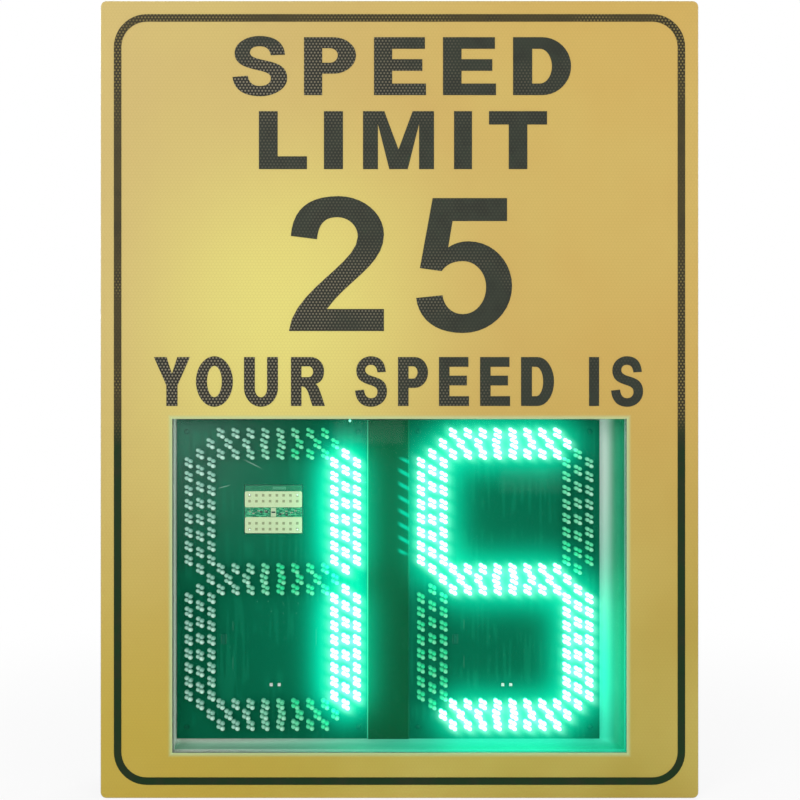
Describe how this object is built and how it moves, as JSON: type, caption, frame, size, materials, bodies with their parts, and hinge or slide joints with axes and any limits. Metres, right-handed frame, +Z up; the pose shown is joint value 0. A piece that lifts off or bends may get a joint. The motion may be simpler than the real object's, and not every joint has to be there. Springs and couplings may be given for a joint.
{
  "type": "radar speed sign",
  "caption": "Upright yellow roadside speed sign with a black border, a window showing lamp digits, a radar module, a shallow cabinet and slotted rear brackets.",
  "frame": {"origin": "middle of the bottom of the whole sign, halfway through its depth", "axes": "+Z up, +X to the viewer's right, -Y out of the face towards the road"},
  "size_m": [0.6, 0.1258, 0.8],
  "materials": {
    "yellow_film": "yellow honeycomb reflective film",
    "black_print": "black print on the film",
    "plate_metal": "mill finish sheet",
    "seal_rubber": "black seal",
    "clear_pane": "clear polycarbonate",
    "white_tray": "white powder coat",
    "plated_steel": "bright zinc plate",
    "digit_board": "dark solder mask",
    "pale_pin": "tinned",
    "pale_nylon": "natural nylon",
    "dark_screw": "black oxide",
    "black_strip": "glossy black",
    "radar_green": "green solder mask",
    "aerial_laminate": "pale laminate",
    "shield_metal": "tinned sheet",
    "grey_coat": "light grey powder coat on aluminium",
    "galvanised": "galvanised",
    "gland_plastic": "black nylon",
    "terminal_plastic": "black moulding",
    "lamp_dark": "clear lamp, off",
    "lamp_lit": "clear lamp, on"
  },
  "bodies": {
    "root": {"aerial_lower": "aerial_laminate", "aerial_upper": "aerial_laminate", "board_screws": "dark_screw", "board_spacers": "pale_nylon", "border_stripe": "black_print", "bracket_bolts": "plated_steel", "bracket_lower": "galvanised", "bracket_nuts": "plated_steel", "bracket_upper": "galvanised", "cabinet_nuts": "plated_steel", "cabinet_shell": "grey_coat", "centre_strip": "black_strip", "controller_board": "radar_green", "controller_posts": "pale_nylon", "controller_terminals": "terminal_plastic", "cover_gasket": "seal_rubber", "cover_screws": "plated_steel", "digit_board_left": "digit_board", "digit_board_right": "digit_board", "equipment_nuts": "plated_steel", "equipment_plate": "plate_metal", "equipment_posts": "pale_nylon", "gland_body": "gland_plastic", "gland_cap": "gland_plastic", "gland_lock_nut": "gland_plastic", "gland_seal": "seal_rubber", "lamp_tray": "white_tray", "lamps_left_bottom": "lamp_dark", "lamps_left_lower_left": "lamp_dark", "lamps_left_lower_right": "lamp_lit", "lamps_left_middle": "lamp_dark", "lamps_left_top": "lamp_dark", "lamps_left_upper_left": "lamp_dark", "lamps_left_upper_right": "lamp_lit", "lamps_right_bottom": "lamp_lit", "lamps_right_lower_left": "lamp_dark", "lamps_right_lower_right": "lamp_lit", "lamps_right_middle": "lamp_lit", "lamps_right_top": "lamp_lit", "lamps_right_upper_left": "lamp_lit", "lamps_right_upper_right": "lamp_dark", "power_supply": "plate_metal", "processor": "terminal_plastic", "radar_board": "radar_green", "radar_posts": "pale_nylon", "radar_shield": "shield_metal", "rear_cover": "grey_coat", "reflective_sheet": "yellow_film", "sign_plate": "plate_metal", "supply_pins": "pale_pin", "supply_terminals": "terminal_plastic", "tray_nuts": "plated_steel", "window_gasket": "seal_rubber", "window_pane": "clear_pane"}
  },
  "joints": []
}
